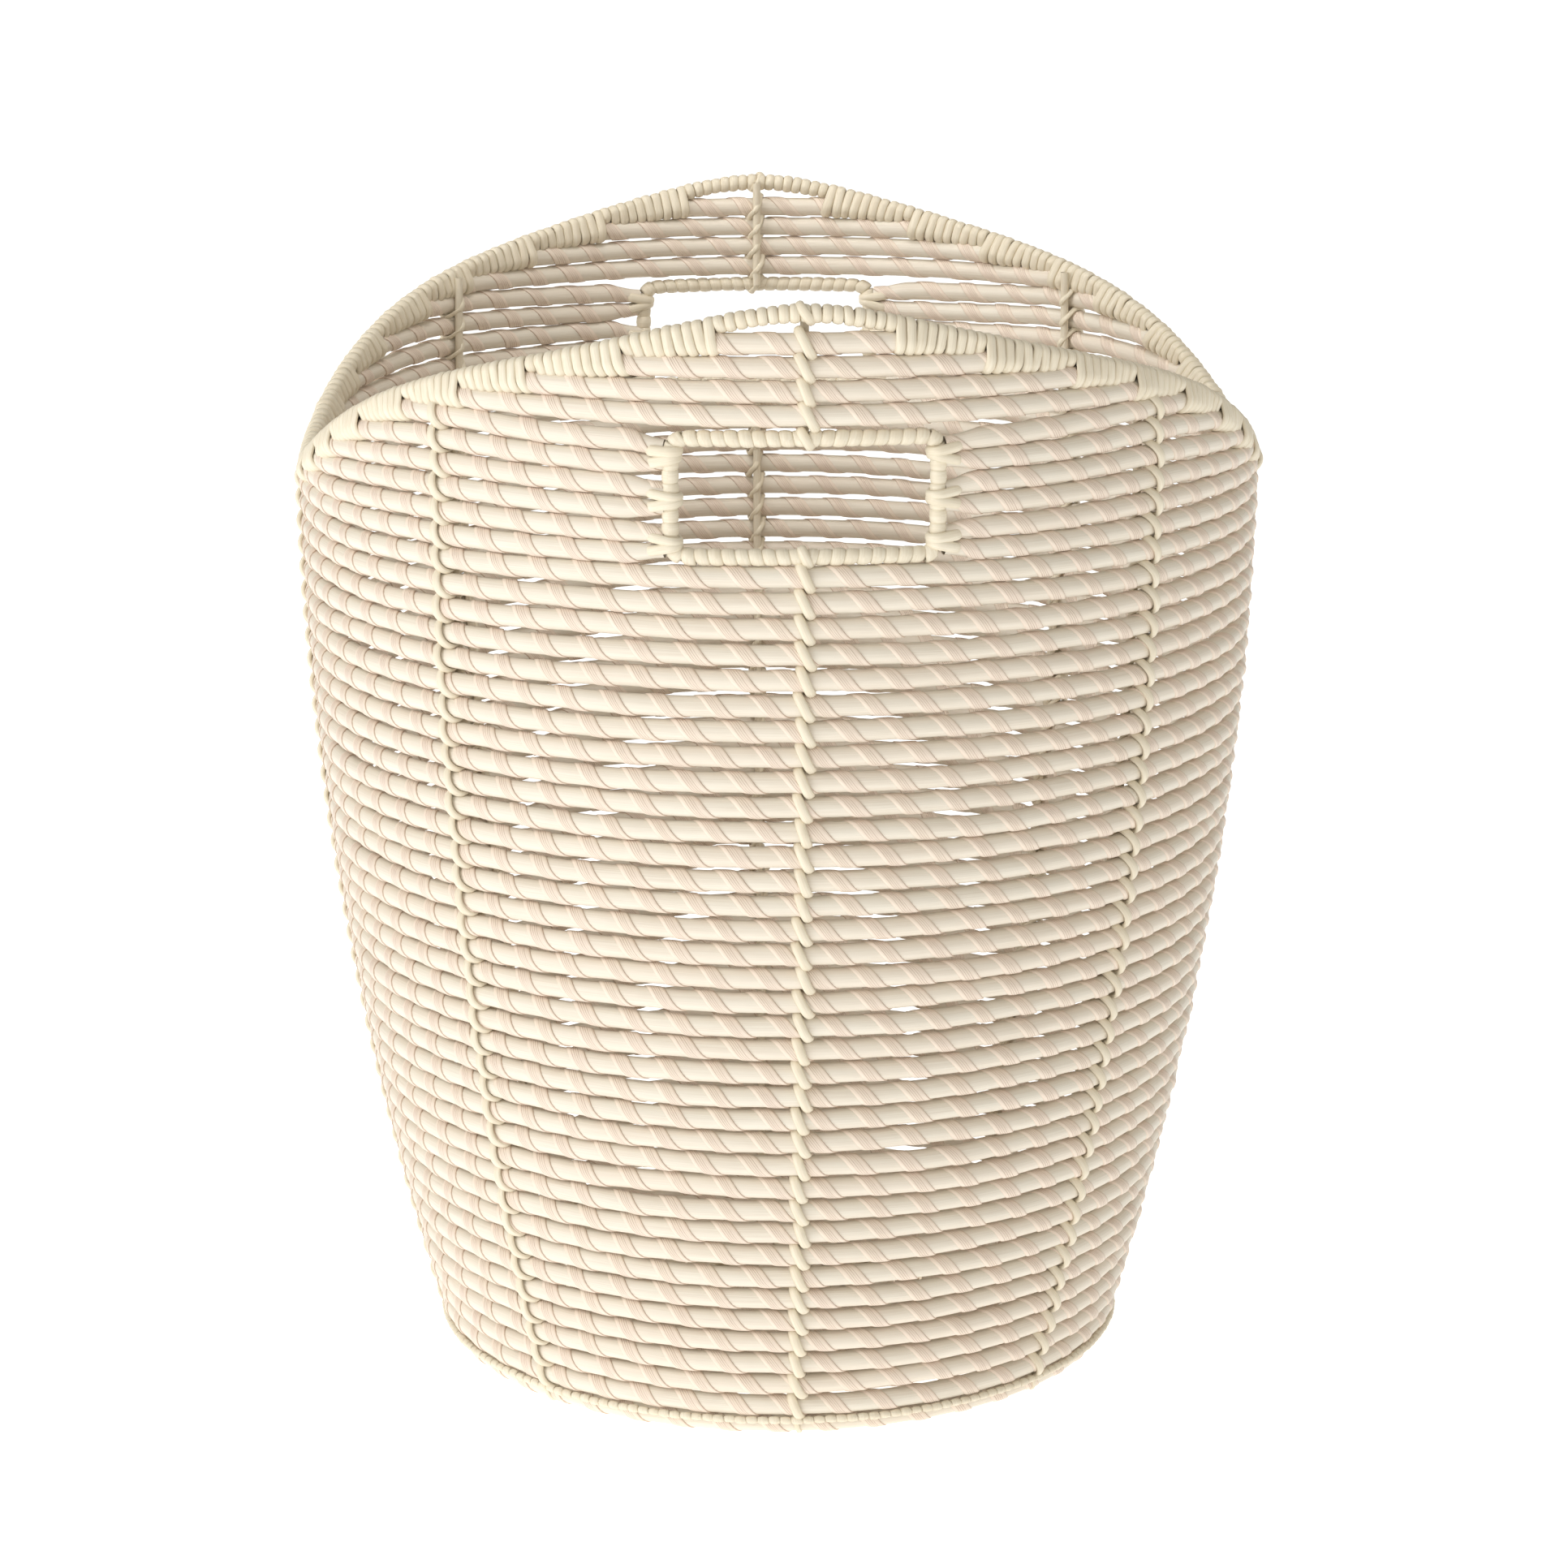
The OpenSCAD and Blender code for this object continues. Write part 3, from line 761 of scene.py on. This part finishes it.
for index, place in enumerate(UPRIGHT_NAMES):
    make_piece(f"upright_{place}", "wire", lambda p: upright(p, index))
make_piece("rim_wire", "wire", rim_wire, "coated")
make_piece("handle_loop_front", "wire", lambda p: hole_wire(p, NO_TURN))
make_piece("handle_loop_back", "wire", lambda p: hole_wire(p, HALF_TURN))
make_piece("base_spokes", "wire", spokes)

# ---- cord ------------------------------------------------------------------------------------

# Cord is flattened: thick and wide are half its thickness and half its width.
RIM_TURN_GAP = 4.7 * MM
RIM_CORD = 1.25 * MM, 2.45 * MM
BEAD_GAP = 5.3 * MM
BEAD_CORD = 0.85 * MM, 2.75 * MM
HOLE_TURN_GAP = 5.9 * MM
HOLE_CORD_WIDE = 3.15 * MM
POST_CORD_WIDE = 3.4 * MM
KNOT_CORD = 1.5 * MM, 2.4 * MM
# A knot binds a pair of rod ends, this far out from the side bar, with two crossing turns. Each has
# its height at the rod ends and its height at the bar.
KNOT_OUT = 5.8 * MM
KNOT_TURNS = ((-2.7 * MM, -1.5 * MM), (2.5 * MM, 1.6 * MM))
KNOT_TIP_R = 2.3 * MM
KNOT_BAR_R = WIRE_R + 0.9 * MM


def jitter(n, size):
    """n seeded random numbers about 0."""
    return rng.normal(size=n) * size


def hull_loops(piece, c1, r1, c2, r2, axis, slant, thick, wide, samples=24, sides=8):
    """Closed turns of cord, each round two circles: centres (b, 3), radii (b,), in the plane
    across axis. slant leans each turn along the axis by that much per metre of height."""
    ahead = c2 - c1
    apart = np.linalg.norm(ahead, axis=-1)
    e1 = unit(np.where(apart[:, None] > 1e-7, ahead, [[0, 0, -1.0]]))
    e1 = unit(e1 - axis * (e1 * axis).sum(-1, keepdims=True))
    e2 = np.cross(axis, e1)
    # The small offset keeps every sample clear of the line between the two circles.
    t = np.arange(samples) * TURN / samples + 0.02
    d = np.cos(t)[None, :, None] * e1[:, None] + np.sin(t)[None, :, None] * e2[:, None]
    use2 = apart[:, None] * np.cos(t)[None] + (r2 - r1)[:, None] > 0
    centre = np.where(use2[..., None], c2[:, None], c1[:, None])
    radius = np.where(use2, r2[:, None], r1[:, None]) + thick[:, None] * 0.9
    path = centre + radius[..., None] * d
    mid = (c1 + c2)[:, None] / 2
    lean = ((path - mid) * e1[:, None]).sum(-1) * slant[:, None]
    path = path + lean[..., None] * axis[:, None]
    piece.sweep(path, d, thick[:, None], wide[:, None], sides, True,
                tone=rng.uniform(size=len(c1)))


def rim_wraps(piece):
    """Turns of cord round the rim wire, in groups that also bind the end of one rod."""
    n = round(rim_path(8)[-1] / RIM_TURN_GAP)
    a, p, out, tangent, _ = rim_path(n)
    fold = np.abs((a + math.pi / 2) % math.pi - math.pi / 2)
    share = tip_share(fold)
    down = unit(np.cross(tangent, out))
    down = np.where(down[:, 2:] > 0, -down, down)
    r2 = np.where(share > 0, CORE_R * share, WIRE_R * 0.98)
    c2 = p + down * np.where(share > 0, WIRE_R + r2 + RIM_CLEARANCE, 0)[:, None]
    thick, wide = RIM_CORD
    hull_loops(piece, p, np.full(n, WIRE_R), c2, r2 * 1.02, tangent, jitter(n, 0.05) + 0.06,
               thick * (1 + jitter(n, 0.05)), wide * (1 + jitter(n, 0.03)))


def bead_turns(piece, p, out, tangent, wire, thick, wide, lean, samples=14):
    """Single turns of cord round a wire at points p, leaning along it by lean per height."""
    up = np.cross(out, tangent)
    t = np.arange(samples) * TURN / samples
    d = np.cos(t)[None, :, None] * out[:, None] + np.sin(t)[None, :, None] * up[:, None]
    radius = (wire + thick)[:, None, None]
    path = p[:, None] + radius * d
    path = path + d[..., 2:] * radius * lean[:, None, None] * tangent[:, None]
    piece.sweep(path, d, thick[:, None], np.reshape(wide, (-1, 1)), 8, True,
                tone=rng.uniform(size=len(p)))


def base_beads(piece):
    """The beaded ring: leaning turns of cord side by side on a core of cord."""
    n = round(TURN * BEAD_RING_R / BEAD_GAP)
    a = np.arange(n) * TURN / n + jitter(n, 0.0008)
    thick, wide = BEAD_CORD
    thick = thick * (1 + jitter(n, 0.06))
    p = around(a, BEAD_RING_R, BEAD_RING_Z + jitter(n, 0.1 * MM))
    bead_turns(piece, p, around(a, 1.0, 0.0), around(a + math.pi / 2, 1.0, 0.0),
               BEAD_R - 2.3 * MM, thick, wide, -0.3 + jitter(n, 0.05), samples=12)
    ring = np.arange(160) * TURN / 160
    piece.sweep(around(ring, BEAD_RING_R, BEAD_RING_Z)[None], around(ring, 1.0, 0.0)[None],
                BEAD_R * 0.4, BEAD_R * 0.4, 8, True)


def hole_wraps(piece, turn):
    """Turns of cord side by side along the wire loop of a hand hole."""
    n = round(hole_path(8)[-1] / HOLE_TURN_GAP)
    x, p, out, tangent, _ = hole_path(n)
    across = np.abs(tangent[:, 2]) < 0.5
    # The turns lean apart from the middle of each horizontal bar.
    lean = np.where(across, np.sign(x) * np.sign(tangent[:, 0]) * 0.3, 0.0)
    thick = (WRAPPED_R - WIRE_R) / 2 * (1 + jitter(n, 0.05))
    wide = np.where(across, HOLE_CORD_WIDE, POST_CORD_WIDE)
    bead_turns(piece, p * turn, out * turn, tangent * turn, WIRE_R, thick, wide,
               lean + jitter(n, 0.04))


def hole_knots(piece, turn):
    """Crossed turns that tie the ends of the short rods, two by two, to the side bars."""
    c1, c2 = [], []
    for side in (-1, 1):
        a_bar = side * math.asin(HOLE_HALF / BELLY_R)
        a_tip = a_bar + side * KNOT_OUT / BELLY_R
        for pair in range(1, SIDE_LEVELS, 2):
            z = TOP_RING_Z + (pair + 0.5) * SIDE_GAP
            for tip, bar in KNOT_TURNS:
                c1.append(around(a_bar, BELLY_R + abs(bar) * 0.1, z + bar))
                c2.append(around(a_tip, BELLY_R, z + tip))
    c1, c2 = np.array(c1) * turn, np.array(c2) * turn
    outward = unit((c1 + c2) * [1, 1, 0])
    axis = unit(np.cross(c2 - c1, outward))
    n = len(c1)
    thick, wide = KNOT_CORD
    hull_loops(piece, c1, np.full(n, KNOT_BAR_R), c2, np.full(n, KNOT_TIP_R), axis,
               jitter(n, 0.05), thick * (1 + jitter(n, 0.05)), wide * (1 + jitter(n, 0.05)), 28, 10)


def hole_bindings(piece):
    for turn in (NO_TURN, HALF_TURN):
        hole_wraps(piece, turn)
        hole_knots(piece, turn)


make_piece("rim_binding", "cord", rim_wraps)
make_piece("base_ring", "cord", base_beads)
make_piece("handle_bindings", "cord", hole_bindings)

# ---- lashings --------------------------------------------------------------------------------

# A stitch is one turn of cord over a rod and round the wire behind it. Its control points are
# (out from the rod, sideways, up), as shares of the rod's radius, the half-shift and the radius.
STITCH = [(-0.45, -1.0, 1.28), (0.25, -1.0, 1.27), (0.86, -0.72, 0.92), (1.22, -0.22, 0.32),
          (1.22, 0.22, -0.32), (0.86, 0.72, -0.92), (0.25, 1.0, -1.27), (-0.45, 1.0, -1.28)]
# How far to the side, below and above it passes beside the wire, and below where it is behind it.
BESIDE, BELOW, ABOVE, BEHIND_BELOW = 2.2 * MM, 3.6 * MM, 2.8 * MM, 1 * MM
STITCH_SAMPLES = 27
# Half-shift, half-width and half-thickness of the stitches over rods, over the foot rod, and over
# the hand holes' bars and the rim.
ROD_STITCH = 2.8 * MM, 2.3 * MM, 1.3 * MM
FOOT_STITCH = 2 * MM, 1.2 * MM, 0.8 * MM
BAR_STITCH = 2.6 * MM, 2.3 * MM, 1.3 * MM
UPWARD = np.array([[0, 0, 1.0]])


def smooth_loop(points, samples):
    """A closed Catmull-Rom curve through (b, k, 3) control points."""
    k = points.shape[1]
    at = np.arange(samples) * k / samples
    i = at.astype(int)
    f = (at - i)[None, :, None]
    p0, p1, p2, p3 = (points[:, (i + o) % k] for o in (-1, 0, 1, 2))
    return 0.5 * (2 * p1 + (p2 - p0) * f + (2 * p0 - 5 * p1 + 4 * p2 - p3) * f ** 2
                  + (3 * p1 - p0 - 3 * p2 + p3) * f ** 3)


def stitches(piece, centre, out, up, back, kind=ROD_STITCH, size=ROD_R):
    """Slanted turns over rods at centre (b, 3), round a wire that lies back behind them."""
    shift, wide, thick = kind
    b = len(centre)
    shifts = shift * (1 + jitter(b, 0.12))
    local = [np.stack([np.full(b, o * size), s * shifts, np.full(b, h * size)], -1)
             for o, s, h in STITCH]
    behind = back + WIRE_R + thick * 0.35
    for place in ((-back, BESIDE, -BELOW), (-behind, 0, -BEHIND_BELOW), (-back, -BESIDE, ABOVE)):
        local.append(np.broadcast_to(place, (b, 3)))
    basis = np.stack([out, np.cross(up, out), up], 1)
    world = centre[:, None] + np.einsum("bkc,bcx->bkx", np.stack(local, 1), basis)
    path = smooth_loop(world, STITCH_SAMPLES)
    normal = path - (centre - out * back * 0.35)[:, None]
    # Fuller where the cord shows outside the rod, thinner where it is pulled tight behind.
    outness = ((path - centre[:, None]) * out[:, None]).sum(-1) / size
    full = 0.6 + 0.4 * np.clip((outness + 0.75) / 0.95, 0, 1)
    piece.sweep(path, normal, thick * full, wide * full, 8, True, tone=rng.uniform(size=b))


def stitch_levels(index):
    """Heights of the rods that cross upright number index, counted from the front."""
    levels = [z for _, z, _ in RINGS]
    fold = min(index % 4, 4 - index % 4) * math.pi / 4
    if fold == 0:
        levels += [arch_z(j, 0.0) for j in ARCH_ENDS]
    else:
        levels += [side_z(j, fold) for j in range(1, SIDE_LEVELS + 1)
                   if j == 1 or SIDE_ENDS[j] > fold + 0.05]
    return np.array(sorted(levels))


def wall_stitches(piece, index):
    """The stitches of one upright, square to the wall, which leans outwards as it rises."""
    a = index * math.pi / 4
    z = stitch_levels(index)
    lean = np.arctan(np.polyval(np.polyder(WALL), z))[:, None]
    flat = around(a, 1.0, 0.0)[None]
    out = flat * np.cos(lean) - UPWARD * np.sin(lean)
    up = flat * np.sin(lean) + UPWARD * np.cos(lean)
    angles = a + jitter(len(z), 0.5 * MM) / BELLY_R
    stitches(piece, around(angles, wall_r(z), z), out, up, UPRIGHT_IN)


def foot_stitch(piece, index):
    """The small stitch that ties an upright's foot to the foot rod."""
    a = np.array([index * math.pi / 4])
    stitches(piece, around(a, FOOT_R, FOOT_Z + 0.3 * MM), around(a, 1.0, 0.0), UPWARD, 4 * MM,
             FOOT_STITCH, ROD_R * 0.86)


def bar_stitches(piece, index):
    """The stitches that tie an interrupted upright to the hand hole's two bars and to the rim."""
    a = np.full(3, index * math.pi / 4)
    bars = around(a, [BELLY_R, BELLY_R, wall_r(RIM_PEAK)], [HOLE_LOW, HOLE_HIGH, RIM_PEAK])
    stitches(piece, bars, around(a, 1.0, 0.0), np.repeat(UPWARD, 3, 0), 2.4 * MM, BAR_STITCH,
             WRAPPED_R * 0.8)


def base_stitches(piece):
    """The stitches that tie the base's rods to its spokes."""
    a = np.arange(8) * math.pi / 4
    r = BASE_FIRST_R
    while r > HUB_R:
        stitches(piece, around(a, r, BASE_Z), np.repeat(UPWARD, 8, 0), around(a, 1.0, 0.0),
                 BASE_Z - SPOKE_Z)
        r -= BASE_GAP


def lashings(piece):
    for index in range(8):
        wall_stitches(piece, index)
        foot_stitch(piece, index)
        if index % 4 == 0:
            bar_stitches(piece, index)
    base_stitches(piece)


make_piece("lashings", "cord", lashings)

# ---- floor, light and camera -----------------------------------------------------------------

FLOOR_SIZE, FLOOR_GLOW = 60, 0.76
FLOOR_GREYS = (0.93, 0.93, 0.93, 1), (0.95, 0.95, 0.95, 1)


def floor_material():
    """A white floor with a glow of its own, which also fills the background."""
    n = Nodes("studio_floor")
    place = n.put("ShaderNodeTexCoord").outputs["Object"]
    speck = n.noise(place, 3.0, 2.0)
    n.set(n.shader.inputs["Base Color"], n.mix(speck, *FLOOR_GREYS))
    n.shader.inputs["Roughness"].default_value = 0.9
    n.shader.inputs["Emission Color"].default_value = (1, 1, 1, 1)
    n.shader.inputs["Emission Strength"].default_value = FLOOR_GLOW
    return n.material


bpy.ops.mesh.primitive_plane_add(size=FLOOR_SIZE, location=(0, 12, 0))
floor = bpy.context.object
floor.name = "floor"
floor.data.materials.append(floor_material())

world = bpy.data.worlds.new("studio")
bpy.context.scene.world = world
world.use_nodes = True
sky = world.node_tree.nodes["Background"]
sky.inputs["Color"].default_value = (1.0, 0.958, 0.872, 1)
sky.inputs["Strength"].default_value = 0.42


def area_light(name, place, target, size, power, color, spread=180):
    """A round light at place, aimed at target, whose beam is spread degrees wide."""
    light = bpy.data.lights.new(name, "AREA")
    light.spread = math.radians(spread)
    light.shape = "DISK"
    light.size = size
    light.energy = power
    light.color = color
    obj = bpy.data.objects.new(name, light)
    bpy.context.scene.collection.objects.link(obj)
    obj.location = place
    aim = np.array(target) - np.array(place)
    obj.rotation_euler = (math.atan2(math.hypot(aim[0], aim[1]), -aim[2]), 0,
                          math.atan2(aim[1], aim[0]) - math.pi / 2)


area_light("key", (-3.5, -1.8, 1.8), (0, 0, 0.3), 3.0, 83, (1.0, 1.0, 1.0))
area_light("front_fill", (0.4, -3.1, 1.6), (0, 0, 0.4), 2.6, 8, (1.0, 0.975, 0.93))
# A weak beam from over the mouth, on the inside of the back wall.
area_light("mouth_fill", (0, -0.1, 1.15), (0, 0.22, 0.42), 0.3, 0.32, (1.0, 0.96, 0.93), 70)

# The camera: distance from the basket's axis, height, turn to the left and tilt.
CAM_DISTANCE, CAM_HEIGHT = 2.4, 0.92
CAM_TURN, CAM_TILT = math.radians(3), math.radians(15.06)
camera = bpy.data.objects.new("camera", bpy.data.cameras.new("camera"))
bpy.context.scene.collection.objects.link(camera)
camera.location = (-CAM_DISTANCE * math.sin(CAM_TURN), -CAM_DISTANCE * math.cos(CAM_TURN),
                   CAM_HEIGHT)
camera.rotation_euler = (math.pi / 2 - CAM_TILT, 0, -CAM_TURN)
camera.data.sensor_width = 36
camera.data.lens = 116.3
camera.data.shift_x = 0.0035
bpy.context.scene.camera = camera
bpy.context.scene.view_settings.view_transform = "Standard"
